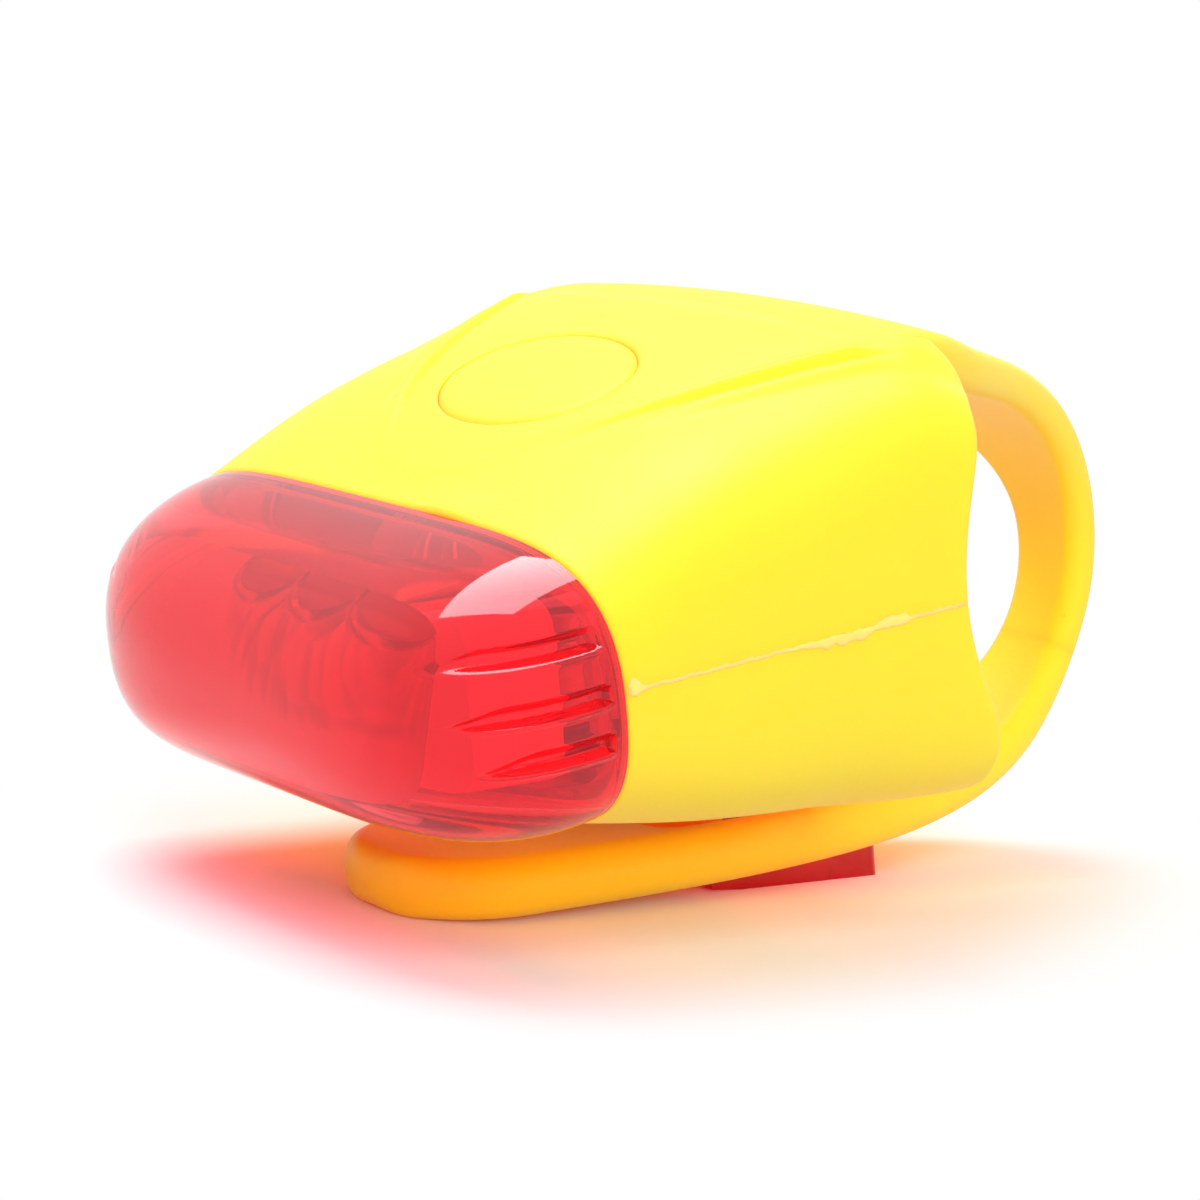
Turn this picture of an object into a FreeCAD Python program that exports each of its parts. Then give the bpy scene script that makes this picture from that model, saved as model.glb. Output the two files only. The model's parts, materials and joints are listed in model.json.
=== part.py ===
import FreeCAD, Part
import math
import os
from FreeCAD import Vector

# Silicone bicycle tail light: a red lamp module in a soft yellow sleeve, whose integral strap
# loops round a handlebar or seat post and slips over a hook under the lamp.
# All sizes are in millimetres. The lamp is drawn upright, with the lens toward -Y and the
# parting line at Z = 0, and is tipped onto its resting points at the end.

# Lamp body, outside of the sleeve
front_half_width = 25.2
flank_flare = 0.07
front_top = 7.9
top_slope = 0.53
top_curve = 0.0083
crest_y = 24.0
crest_drop = 0.06
front_bottom = -10.1
bottom_slope = 0.28
bottom_curve = 0.0044
body_length = 28.2
skin = 1.6
rear_wall = 1.9
front_power_x = 5.3
front_power_z = 2.5
rear_power_x = 5.2
rear_power_z = 3.2
ear_power_x = 7.5
ear_power_z = 3.9
ear_start = 16.0
crown_height = 0.4
crease_front = 8.6
crease_spread = 0.35
crease_step = 1.2
crease_full_y = 18.0
crease_width = 2.6
bead_height = 0.45
bead_width = 1.1

# Rear saddle that sits against the bar
saddle_radius = 16.5
saddle_face = 25.1
saddle_height = 0.6

# Lens
lens_reach = 12.2
lens_droop = 0.12
lens_wall = 1.8
neck_length = 6.0
rib_levels = [2.7, -0.5, -3.4]
rib_height = 1.3
rib_depth = 0.7
rib_start = -8.8
rib_end = -0.9

# Module behind the lens
gasket_thickness = 0.8
module_clearance = 0.15
case_wall = 1.2

# Strap and pull tab
strap_thickness = 2.7
root_thickness = 3.2
tab_thickness = 4.0
strap_edge_share = 0.42
strap_mid_half_width = 3.2
tab_half_width = 8.0
hinge_gap = 0.3
root_hinge_y = 33.5
end_hinge_y = 44.0

# Hook under the lamp
hook_half_width = 4.6
hook_clearance = 0.6
hook_back = 34.7
hook_stem = 6.3
hook_reach = 14.4
resting_slope = 0.188
lip_tip_thickness = 0.75
lip_tip_lift = 0.2
lip_clearance = 0.45
slot_lead = 4.2
slot_corner = 1.5
stem_corner = 0.8

# Button and switch
button_y = 13.1
button_half_x = 8.15
button_half_y = 5.45
button_gap = 0.3
button_travel = 0.8
boss_radius = 2.2
switch_side = 6.0
switch_height = 3.5
plunger_radius = 1.7
plunger_fit = 0.08
plunger_stand = 1.0

# Lamp electronics
led_radius = 2.5
led_flange_radius = 2.9
led_flange = 1.0
led_length = 7.8
led_stand = 1.3
lead_half = 0.25
lead_offset = 1.27
led_level = 1.0
led_pitch = 6.6
cup_mouth_radius = 2.95
cup_base_radius = 2.6
reflector_half_width = 17.0
reflector_height = 11.0
reflector_corner = 2.5
reflector_depth = 5.5
board_thickness = 1.2
board_half_width = 17.0
cell_radius = 10.0
cell_thickness = 3.2
cell_top = -0.2
cradle_floor = 0.35
cradle_clearance = 0.2
cradle_wall = 1.2
contact_thickness = 0.3
spring_half_width = 5.0
spring_half_length = 6.0
clip_half_width = 2.5
clip_reach = 4.0
post_radius = 2.2
screw_radius = 0.8
screw_length = 6.0
screw_head_radius = 1.6
screw_head_height = 1.1
chip_half_width = 2.5
chip_half_length = 2.0
chip_height = 1.5
resistor_half_width = 1.0
resistor_length = 1.2
resistor_height = 0.5

AXIS_X = Vector(1, 0, 0)
AXIS_Y = Vector(0, 1, 0)
AXIS_Z = Vector(0, 0, 1)


def block(x0, x1, y0, y1, z0, z1):
    return Part.makeBox(x1 - x0, y1 - y0, z1 - z0, Vector(x0, y0, z0))


def prism(points, half_width):
    """Side profile of (Y, Z) points, drawn out equally to both sides of the middle."""
    corners = [Vector(-half_width, y, z) for y, z in points]
    face = Part.Face(Part.makePolygon(corners + corners[:1]))
    return face.extrude(AXIS_X * (2 * half_width))


def oval(half_x, half_y, y, z0, z1):
    """Upright oval prism, longer across the lamp than along it."""
    ellipse = Part.Ellipse(Vector(0, y, z0), half_x, half_y)
    return Part.Face(Part.Wire(ellipse.toShape())).extrude(AXIS_Z * (z1 - z0))


# Outer form of the lamp body
def top_height(y):
    return front_top + top_slope * y - top_curve * y * y - crest_drop * max(y - crest_y, 0.0) ** 2


def bottom_height(y):
    return front_bottom - bottom_slope * y + bottom_curve * y * y


def half_width(y):
    return front_half_width + flank_flare * y


def crease_place(y):
    return crease_front + crease_spread * y


def smooth_step(value):
    value = min(max(value, 0.0), 1.0)
    return value * value * (3 - 2 * value)


def body_section(y, inset, plain=False):
    """Closed outline across the lamp at one depth, drawn in by inset.

    The top carries a raised middle whose edges spread toward the rear. A rounded bead runs along
    each edge and fades out where the middle swells into the strap. A plain outline leaves them out.
    """
    grow = smooth_step(y / 10.0)
    ear = smooth_step((y - ear_start) / (body_length - ear_start))
    step = crease_step * max(y, 0.0) / crease_full_y
    power_x = front_power_x + (rear_power_x - front_power_x) * grow + (ear_power_x - rear_power_x) * ear
    power_z = front_power_z + (rear_power_z - front_power_z) * grow + (ear_power_z - rear_power_z) * ear
    reach_x = half_width(y) - inset
    top = top_height(y) - step - inset
    bottom = bottom_height(y) + inset
    middle = (top + bottom) / 2
    reach_z = (top - bottom) / 2
    points = []
    count = 72
    for index in range(count):
        turn = 2 * math.pi * index / count
        across = math.cos(turn)
        along = math.sin(turn)
        x = reach_x * math.copysign(abs(across) ** (2 / power_x), across)
        z = reach_z * math.copysign(abs(along) ** (2 / power_z), along)
        if along > 0 and not plain:
            crease = crease_place(y)
            off = abs(x) - crease
            z += step * (1 - smooth_step(0.5 + off / crease_width))
            z += bead_height * grow * (1 - ear) * math.exp(-(off / bead_width) ** 2)
            z += crown_height * ear * max(1 - (x / crease) ** 2, 0.0)
        points.append(Vector(x, y, middle + z))
    curve = Part.BSplineCurve()
    curve.interpolate(points, PeriodicFlag=True)
    return Part.Wire(curve.toShape())


def body_solid(y0, y1, inset, plain=False, stations=6):
    depths = [y0 + (y1 - y0) * index / stations for index in range(stations + 1)]
    return Part.makeLoft([body_section(y, inset, plain) for y in depths], True)


def lens_section(y, inset):
    """Outline of the domed lens at one depth in front of the sleeve."""
    reach = lens_reach - inset
    share = 1 - (abs(y) / reach) ** 2.0
    middle = (front_top + front_bottom) / 2 + lens_droop * y
    reach_x = (front_half_width - inset) * share ** (1 / 3.6)
    reach_z = ((front_top - front_bottom) / 2 - inset) * share ** (1 / front_power_z)
    points = []
    count = 40
    for index in range(count):
        turn = 2 * math.pi * index / count
        across = math.cos(turn)
        along = math.sin(turn)
        x = reach_x * math.copysign(abs(across) ** (2 / front_power_x), across)
        z = reach_z * math.copysign(abs(along) ** (2 / front_power_z), along)
        points.append(Vector(x, y, middle + z))
    curve = Part.BSplineCurve()
    curve.interpolate(points, PeriodicFlag=True)
    return Part.Wire(curve.toShape())


def lens_dome(inset):
    shares = [1.0, 0.9, 0.72, 0.5, 0.3, 0.14, 0.05, 0.012]
    reach = lens_reach - inset
    depths = [-reach * (1 - share) ** 0.5 for share in shares]
    return Part.makeLoft([lens_section(y, inset) for y in depths], True)


# Strap
# The strap's middle surface as (half width, thickness, Y, Z): wide at the root above the saddle,
# slim round the back of the bar, wide and thicker again along the pull tab under the lamp.
slot_thickness = 0.9 * tab_thickness
strap_low = -20.6
strap_edge_points = [
    (19.0, root_thickness, 23.0, 13.1),
    (19.6, root_thickness, 26.5, 13.95),
    (19.0, root_thickness, 29.8, 14.0),
    (15.8, 0.94 * root_thickness, 36.4, 11.5),
    (10.4, strap_thickness, 45.0, 7.9),
    (6.5, strap_thickness, 52.0, 3.4),
    (3.8, strap_thickness, 56.4, -3.2),
    (strap_mid_half_width, strap_thickness, 56.6, -9.2),
    (3.4, strap_thickness, 53.8, -14.9),
    (4.9, 1.1 * strap_thickness, 48.2, -19.1),
    (6.5, slot_thickness, 40.6, strap_low),
    (7.6, 0.97 * tab_thickness, 30.0, strap_low + 0.25),
    (tab_half_width, tab_thickness, 17.0, -18.95),
    (tab_half_width, tab_thickness, 3.0, -17.05),
    (tab_half_width, tab_thickness, -5.0, -15.95),
]
strap_path = Part.BSplineCurve()
strap_path.interpolate([Vector(0, point[2], point[3]) for point in strap_edge_points])
strap_stops = [strap_path.parameter(Vector(0, point[2], point[3])) for point in strap_edge_points]
strap_breadth = Part.BSplineCurve()
strap_breadth.interpolate(
    Points=[Vector(point[0], stop, point[1]) for point, stop in zip(strap_edge_points, strap_stops)],
    Parameters=strap_stops,
)
strap_first = strap_path.FirstParameter
strap_last = strap_path.LastParameter


def strap_frame(parameter):
    """Middle point, direction, outward direction, half width and thickness of the strap."""
    along = strap_path.tangent(parameter)[0]
    outward = AXIS_X.cross(along)
    breadth = strap_breadth.value(parameter)
    return strap_path.value(parameter), along, outward, breadth.x, breadth.z


def strap_section(parameter):
    """Rounded oblong across the strap."""
    middle, along, outward, half, thick = strap_frame(parameter)
    rise = thick / 2
    edge = strap_edge_share * thick
    bend = edge * (1 - math.sqrt(0.5))

    def place(x, z):
        return middle + AXIS_X * x + outward * z

    quarters = []
    for side, up in ((1, 1), (1, -1), (-1, -1), (-1, 1)):
        level = place(side * (half - edge), up * rise)
        turn = place(side * (half - bend), up * (rise - bend))
        upright = place(side * half, up * (rise - edge))
        ends = (level, turn, upright) if side * up > 0 else (upright, turn, level)
        quarters.append(ends)
    edges = []
    for index, corner in enumerate(quarters):
        edges.append(Part.Arc(*corner).toShape())
        edges.append(Part.LineSegment(corner[2], quarters[(index + 1) % 4][0]).toShape())
    return Part.Wire(edges)


def strap_parameter(y, lower):
    """Parameter of the strap's edge where it passes the given Y, over or under the loop."""
    steps = 400
    best = None
    for index in range(steps + 1):
        parameter = strap_first + (strap_last - strap_first) * index / steps
        point = strap_path.value(parameter)
        if (point.z < 0) != lower:
            continue
        miss = abs(point.y - y)
        if best is None or miss < best[0]:
            best = (miss, parameter)
    return best[1]


def strap_run(start, end, sections):
    steps = [start + (end - start) * index / (sections - 1) for index in range(sections)]
    return Part.makeLoft([strap_section(step) for step in steps], True)


def hinge_roll(place, radius, half):
    """Rounded end of a strap piece about its bending line."""
    return Part.makeCylinder(radius, 2 * half, place - AXIS_X * half, AXIS_X)


root_parameter = strap_parameter(root_hinge_y, False)
end_parameter = strap_parameter(end_hinge_y, True)
root_place, _, _, root_half, root_thick = strap_frame(root_parameter)
end_place, end_along, end_outward, end_half, end_thick = strap_frame(end_parameter)
root_radius = root_thick / 2
end_radius = end_thick / 2


def half_space(place, direction):
    """Large block on the side of a plane that the direction points to."""
    size = 120.0
    base = Part.makeBox(size, size, size, Vector(-size / 2, -size / 2, 0))
    base.Placement = FreeCAD.Placement(place, FreeCAD.Rotation(AXIS_Z, direction))
    return base


# Hook and the slot that slips over it
strap_under = strap_low - slot_thickness / 2
hook_front = hook_back - hook_reach
stem_front = hook_back - hook_stem
lip_top = strap_under - lip_clearance
pitch = math.degrees(math.atan(resting_slope))
tipping = FreeCAD.Rotation(AXIS_X, pitch)


def strap_band():
    run = strap_run(root_parameter, end_parameter, 17)
    run = run.cut(hinge_roll(root_place, root_radius + hinge_gap, 30))
    run = run.common(half_space(end_place, end_along * -1))
    return run.fuse(hinge_roll(end_place, end_radius, end_half - 0.3)).removeSplitter()


def tab_outline():
    """Plan of the pull tab, with its tongue-shaped tip."""
    tip = -3.6
    shoulder = 3.4
    width = tab_half_width * 1.5
    arc = Part.Arc(
        Vector(tab_half_width + 0.05, shoulder, -40),
        Vector(0, tip, -40),
        Vector(-tab_half_width - 0.05, shoulder, -40),
    ).toShape()
    corners = [
        Vector(-tab_half_width - 0.05, shoulder, -40),
        Vector(-width, shoulder, -40),
        Vector(-width, 60, -40),
        Vector(width, 60, -40),
        Vector(width, shoulder, -40),
        Vector(tab_half_width + 0.05, shoulder, -40),
    ]
    edges = [arc]
    for first, second in zip(corners, corners[1:]):
        edges.append(Part.LineSegment(first, second).toShape())
    return Part.Face(Part.Wire(edges)).extrude(AXIS_Z * 40)


slot_half_width = hook_half_width + hook_clearance
slot_front = hook_front - slot_lead
slot_back = hook_back + hook_clearance


def outer_relief():
    """Room under the bending line, so that the pull tab can swing right down."""
    size = 2 * (end_radius + hinge_gap)
    relief = Part.makeBox(60, size, size, Vector(-30, -size / 2, 0))
    relief.Placement = FreeCAD.Placement(end_place, FreeCAD.Rotation(AXIS_Z, end_outward))
    return relief


def strap_end():
    run = strap_run(end_parameter, strap_last, 9)
    run = run.cut(hinge_roll(end_place, end_radius + hinge_gap, 30))
    run = run.cut(outer_relief())
    run = run.common(tab_outline())
    slot = block(-slot_half_width, slot_half_width, slot_front, slot_back, -30, -10)
    slot = slot.makeFillet(slot_corner, [edge for edge in slot.Edges if abs(edge.tangentAt(0).z) > 0.9])
    return run.cut(slot).removeSplitter()


pull_tab = strap_end()


def heel_height():
    """Height of the hook's heel that puts it on one level with the tip of the pull tab."""
    tipped = pull_tab.copy()
    tipped.Placement = FreeCAD.Placement(Vector(0, 0, 0), tipping).multiply(tipped.Placement)
    lowest = tipped.optimalBoundingBox().ZMin
    turn = math.radians(pitch)
    return (lowest - hook_back * math.sin(turn)) / math.cos(turn)


hook_bottom = heel_height()


def hook_floor(y):
    """Height of the surface that the light rests on, seen from the lamp."""
    return hook_bottom + resting_slope * (hook_back - y)


def hook_profile(grow):
    """Side outline of the hook: it leaves the rear of the case, drops through the strap's slot
    and turns forward under it.
    """
    return [
        (15.5 - grow, -10.0),
        (24.0, -10.0),
        (29.5 + grow, -13.6 + grow),
        (hook_back + grow, -17.0 + grow),
        (hook_back + grow, hook_bottom),
        (hook_front + 2.4, hook_floor(hook_front + 2.4)),
        (hook_front, hook_floor(hook_front) + lip_tip_lift),
        (hook_front, hook_floor(hook_front) + lip_tip_thickness),
        (stem_front - grow, lip_top),
        (stem_front - grow, -18.6),
        (22.5 - grow, -15.0 - grow),
        (15.5 - grow, -13.4 - grow),
    ]


def hook():
    shape = prism(hook_profile(0.0), hook_half_width)
    back = [edge for edge in shape.Edges
            if abs(edge.tangentAt(0).z) > 0.9 and edge.CenterOfMass.y > hook_back - 0.1]
    return shape.makeFillet(stem_corner, back)


# Soft parts
case_inset = skin + module_clearance
case_inner = case_inset + case_wall
case_front = neck_length + gasket_thickness
cavity_end = saddle_face - rear_wall
case_back = cavity_end - module_clearance
button_low = front_top * 0.75
button_high = front_top * 2.5
button_solid = oval(button_half_x, button_half_y, button_y, button_low, button_high)
button_hole = oval(button_half_x + button_gap, button_half_y + button_gap, button_y, button_low, button_high)


def rear_cutter():
    """Everything behind the lamp body, with the arc that seats on the bar."""
    drop = 8.7
    bulge = saddle_radius - math.sqrt(saddle_radius ** 2 - drop ** 2)
    upper = Vector(-40, saddle_face + bulge, saddle_height + drop)
    middle = Vector(-40, saddle_face, saddle_height)
    lower = Vector(-40, saddle_face + bulge, saddle_height - drop)
    corners = [
        lower,
        Vector(-40, body_length + 0.2, -17),
        Vector(-40, 50, -17),
        Vector(-40, 50, 19),
        Vector(-40, saddle_face + 0.8, 19),
        upper,
    ]
    edges = [Part.Arc(upper, middle, lower).toShape()]
    for first, second in zip(corners, corners[1:]):
        edges.append(Part.LineSegment(first, second).toShape())
    return Part.Face(Part.Wire(edges)).extrude(AXIS_X * 80)


body_outside = body_solid(0.0, body_length + 1.5, 0.0).cut(rear_cutter())
body_cavity = body_solid(-0.01, cavity_end, skin, plain=True, stations=4)


def silicone_sleeve():
    root = strap_run(strap_first, root_parameter, 4)
    root = root.cut(block(-30, 30, 10, cavity_end + 0.3, -30, 30))
    shape = body_outside.cut(body_cavity)
    shape = shape.fuse([root, hinge_roll(root_place, root_radius, root_half - 0.4)])
    shape = shape.cut(button_hole)
    shape = shape.cut(prism(hook_profile(hook_clearance / 2), hook_half_width + hook_clearance / 2))
    return shape.removeSplitter()


def button_pad():
    shell = button_solid.common(body_outside.cut(body_cavity))
    boss_low = switch_top + plunger_stand
    boss = Part.makeCylinder(boss_radius, 5.0, Vector(0, button_y, boss_low))
    boss = boss.common(body_solid(2.0, 22.0, skin - 0.3, plain=True, stations=3))
    return shell.fuse(boss).removeSplitter()


# Lens and lamp module
def lens():
    dome = lens_dome(0.0)
    neck = body_solid(0.0, neck_length, case_inset, plain=True, stations=2)
    hollow = lens_dome(lens_wall)
    hollow = hollow.fuse(body_solid(-0.6, neck_length + 0.1, case_inner, plain=True, stations=2))
    shape = dome.fuse(neck).cut(hollow)
    for level in rib_levels:
        for side in (1, -1):
            shape = shape.cut(rib_groove(level, side))
    return shape.removeSplitter()


def rib_groove(level, side):
    """Shallow bar-shaped recess in the side of the lens, open toward the front."""
    outer = lens_dome(-1.0)
    inner = lens_dome(rib_depth)
    ring = outer.cut(inner)
    x0, x1 = sorted((side * 18.0, side * 30.0))
    return ring.common(block(x0, x1, rib_start, rib_end, level, level + rib_height))


def lens_gasket():
    outside = body_solid(neck_length, case_front, case_inset, plain=True, stations=1)
    inside = body_solid(neck_length - 0.1, case_front + 0.1, case_inner, plain=True, stations=1)
    return outside.cut(inside)


def rear_case():
    outside = body_solid(case_front, case_back, case_inset, plain=True, stations=3)
    inside = body_solid(case_front - 0.1, case_back - case_wall, case_inner, plain=True, stations=3)
    shape = outside.fuse(hook()).cut(inside)
    return shape.cut(button_hole).removeSplitter()


cell_y = case_back - case_wall - module_clearance - cell_radius
led_end = cell_y - cell_radius - cradle_clearance
led_tip = led_end - led_length
led_places = [-led_pitch, 0.0, led_pitch]
reflector_front = led_tip + led_stand
board_low = led_level + led_flange_radius + 0.3
board_high = board_low + board_thickness
switch_top = board_high + switch_height
cell_low = cell_top - 2 * cell_thickness - 0.1
post_x = cell_radius + cradle_clearance + cradle_wall + post_radius
screw_end = board_high - screw_length


def reflector():
    back = reflector_front + reflector_depth
    middle = (front_top + front_bottom) / 2
    low = middle - reflector_height / 2
    shape = block(-reflector_half_width, reflector_half_width, reflector_front, back, low, low + reflector_height)
    uprights = [edge for edge in shape.Edges if abs(edge.tangentAt(0).y) > 0.9]
    shape = shape.makeFillet(reflector_corner, uprights)
    for x in led_places:
        place = Vector(x, reflector_front, led_level)
        cup = Part.makeCone(cup_mouth_radius, cup_base_radius, reflector_depth, place, AXIS_Y)
        shape = shape.cut(cup)
    return shape


def led(x):
    """Round lamp with a domed tip toward the lens, a flange and two bent legs."""
    dome_centre = Vector(x, led_tip + led_radius, led_level)
    barrel = Part.makeCylinder(led_radius, led_length - led_radius, dome_centre, AXIS_Y)
    flange = Part.makeCylinder(
        led_flange_radius, led_flange, Vector(x, led_end - led_flange, led_level), AXIS_Y)
    shape = barrel.fuse([Part.makeSphere(led_radius, dome_centre), flange])
    bend = board_front_edge + 1.5
    for side in (-lead_offset, lead_offset):
        x0 = x + side - lead_half
        x1 = x + side + lead_half
        run = block(x0, x1, led_end - lead_half, bend, led_level - lead_half, led_level + lead_half)
        rise = block(x0, x1, bend - 2 * lead_half, bend, led_level - lead_half, board_low)
        shape = shape.fuse([run, rise])
    return shape.removeSplitter()


board_front_edge = case_front + 0.6


def circuit_board():
    shape = block(-board_half_width, board_half_width, board_front_edge, case_back - case_wall - 0.4,
                  board_low, board_high)
    for x in (-post_x, post_x):
        shape = shape.cut(Part.makeCylinder(screw_radius + 0.1, 4, Vector(x, cell_y, board_low - 1)))
    return shape


def switch_body():
    half = switch_side / 2
    shape = block(-half, half, button_y - half, button_y + half, board_high, switch_top)
    well_depth = 0.6 + button_travel + 0.2
    well = Part.makeCylinder(plunger_radius + plunger_fit, well_depth + 1,
                             Vector(0, button_y, switch_top - well_depth))
    return shape.cut(well)


def switch_plunger():
    return Part.makeCylinder(plunger_radius, 0.6 + plunger_stand, Vector(0, button_y, switch_top - 0.6))


def chip():
    x = (clip_half_width + post_x - post_radius) / 2
    return block(x - chip_half_width, x + chip_half_width, cell_y - chip_half_length,
                 cell_y + chip_half_length, board_low - chip_height, board_low)


def resistor(x):
    y = board_front_edge + resistor_height / 2
    return block(x - resistor_half_width, x + resistor_half_width, y, y + resistor_length,
                 board_high, board_high + resistor_height)


def cell(low):
    shape = Part.makeCylinder(cell_radius, cell_thickness, Vector(0, cell_y, low))
    return shape.makeFillet(0.4, [edge for edge in shape.Edges if edge.Closed])


def battery_cradle():
    inner = cell_radius + cradle_clearance
    outer = inner + cradle_wall
    low = cell_low - contact_thickness
    height = cell_top - low - 0.4
    ring = Part.makeCylinder(outer, height, Vector(0, cell_y, low))
    shape = ring.cut(Part.makeCylinder(inner, height + 2, Vector(0, cell_y, low - 1)))
    rear = case_back - case_wall - 0.2
    floor = block(-outer + 1, outer - 1, cell_y - 3.0, cell_y + 7.0, low - cradle_floor, low)
    shape = shape.common(block(-20, 20, case_front + 0.3, rear, low, low + height)).fuse(floor)
    for side in (-1, 1):
        post = Part.makeCylinder(post_radius, board_low - low, Vector(side * post_x, cell_y, low))
        x0, x1 = sorted((side * (inner + 0.4), side * (post_x - 1.2)))
        shape = shape.fuse([post, block(x0, x1, cell_y - 1.2, cell_y + 1.2, low, low + height)])
        bore = Part.makeCylinder(screw_radius, screw_length, Vector(side * post_x, cell_y, screw_end))
        shape = shape.cut(bore)
    return shape.removeSplitter()


def contact_spring():
    """Leaf under the lower cell, with two raised fingers cut free at its sides."""
    low = cell_low - contact_thickness
    shape = block(-spring_half_width, spring_half_width, cell_y - spring_half_length,
                  cell_y + spring_half_length, low, cell_low)
    for side in (-1, 1):
        x0, x1 = sorted((side * spring_half_width * 0.32, side * spring_half_width * 0.44))
        front = cell_y - spring_half_length - 1
        shape = shape.cut(block(x0, x1, front, cell_y + spring_half_length / 2, low - 1, cell_low + 1))
    return shape


def contact_clip():
    """Bent leaf from the top of the upper cell to the underside of the board."""
    high = cell_top + contact_thickness
    rear = cell_y + clip_reach
    points = [
        (cell_y - 3.0, cell_top),
        (rear, cell_top),
        (rear, board_low - contact_thickness),
        (rear + 3.0, board_low - contact_thickness),
        (rear + 3.0, board_low),
        (rear - contact_thickness, board_low),
        (rear - contact_thickness, high),
        (cell_y - 3.0, high),
    ]
    return prism(points, clip_half_width)


def board_screws():
    shapes = []
    for x in (-post_x, post_x):
        head = Part.makeCylinder(screw_head_radius, screw_head_height, Vector(x, cell_y, board_high))
        shank = Part.makeCylinder(screw_radius, screw_length, Vector(x, cell_y, screw_end))
        slot = block(x - 2.0, x + 2.0, cell_y - 0.25, cell_y + 0.25,
                     board_high + screw_head_height - 0.5, board_high + screw_head_height + 1)
        shapes.append(head.fuse(shank).cut(slot).removeSplitter())
    return Part.Compound(shapes)


nodes = {
    "silicone_sleeve": silicone_sleeve(),
    "button_pad": button_pad(),
    "strap_band": strap_band(),
    "strap_end": pull_tab,
    "lens": lens(),
    "lens_gasket": lens_gasket(),
    "rear_case": rear_case(),
    "reflector": reflector(),
    "led_left": led(led_places[0]),
    "led_middle": led(led_places[1]),
    "led_right": led(led_places[2]),
    "circuit_board": circuit_board(),
    "switch_body": switch_body(),
    "switch_plunger": switch_plunger(),
    "control_chip": chip(),
    "resistor_left": resistor(led_places[0]),
    "resistor_middle": resistor(led_places[1]),
    "resistor_right": resistor(led_places[2]),
    "battery_upper": cell(cell_top - cell_thickness),
    "battery_lower": cell(cell_low),
    "battery_cradle": battery_cradle(),
    "contact_spring": contact_spring(),
    "contact_clip": contact_clip(),
    "board_screws": board_screws(),
}

# Rest the light on the heel of its hook and the tip of its pull tab
for shape in nodes.values():
    shape.Placement = FreeCAD.Placement(Vector(0, 0, 0), tipping).multiply(shape.Placement)
whole = Part.Compound(list(nodes.values())).optimalBoundingBox()
seat = Vector(0, -(whole.YMin + whole.YMax) / 2, -whole.ZMin)


def in_row(place):
    moved = tipping.multVec(place) + seat
    return [round(value, 3) for value in moved]


os.makedirs("parts", exist_ok=True)
for name, shape in nodes.items():
    shape.translate(seat)
    if not shape.isValid():
        print("not valid:", name)
    shape.exportStep("parts/" + name + ".step")
    print(name, "solids", len(shape.Solids), "volume", round(shape.Volume, 1))

print("size", round(whole.XLength, 2), round(whole.YLength, 2), round(whole.ZLength, 2))
print("pitch", round(pitch, 3), "seat", seat)
print("root hinge", in_row(root_place))
print("end hinge", in_row(end_place))
print("press direction", [round(value, 5) for value in tipping.multVec(AXIS_Z * -1)])
print("saddle centre", in_row(Vector(0, saddle_face + saddle_radius, saddle_height)))
print("heel", in_row(Vector(0, hook_back, hook_bottom)))
print("heel front", in_row(Vector(0, hook_front + 2.4, hook_floor(hook_front + 2.4))))
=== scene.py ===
import json
import math

import bpy
import bmesh
import numpy as np
from mathutils import Matrix, Vector


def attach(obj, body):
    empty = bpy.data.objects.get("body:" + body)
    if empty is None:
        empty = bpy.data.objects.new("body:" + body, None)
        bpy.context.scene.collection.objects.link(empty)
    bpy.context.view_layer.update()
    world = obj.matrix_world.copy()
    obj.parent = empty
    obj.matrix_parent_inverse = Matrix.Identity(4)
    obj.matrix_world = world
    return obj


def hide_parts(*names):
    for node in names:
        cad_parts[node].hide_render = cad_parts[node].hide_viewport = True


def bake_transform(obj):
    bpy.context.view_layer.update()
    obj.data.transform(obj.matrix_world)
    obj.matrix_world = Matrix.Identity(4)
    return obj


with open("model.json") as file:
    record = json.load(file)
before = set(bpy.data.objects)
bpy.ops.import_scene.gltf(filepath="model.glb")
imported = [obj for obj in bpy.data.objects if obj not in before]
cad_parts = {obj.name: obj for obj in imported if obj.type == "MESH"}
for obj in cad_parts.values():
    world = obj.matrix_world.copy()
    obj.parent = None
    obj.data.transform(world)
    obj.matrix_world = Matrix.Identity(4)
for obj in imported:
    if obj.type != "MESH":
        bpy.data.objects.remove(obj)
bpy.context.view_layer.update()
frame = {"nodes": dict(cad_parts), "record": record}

# Resting place.
# The light leans back on the heel of its hook and the tip of its pull tab. Its pieces are drawn
# upright in millimetres, lens toward -Y and parting line at Z = 0, and then stood in that lean.
record = frame["record"]
press_axis = next(j["axis"] for j in record["behaviour"]["joints"] if j["name"] == "button_press")
saddle_place = next(m["pos_m"] for m in record["mounts"] if m["name"] == "bar_saddle")
lean_sin = press_axis[1]
lean_cos = -press_axis[2]
saddle_radius = 16.5
saddle_face = 25.1
saddle_height = 0.6
saddle_depth = saddle_face + saddle_radius
seat_y = saddle_place[1] * 1000 - saddle_depth * lean_cos + saddle_height * lean_sin
seat_z = saddle_place[2] * 1000 - saddle_depth * lean_sin - saddle_height * lean_cos


def stand(points):
    """Upright millimetres to the frame's metres: a turn about X by the lean, then a shift to the seat."""
    points = np.asarray(points, float)
    y = points[..., 1] * lean_cos - points[..., 2] * lean_sin + seat_y
    z = points[..., 1] * lean_sin + points[..., 2] * lean_cos + seat_z
    return np.stack([points[..., 0], y, z], axis=-1) * 0.001


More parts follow.
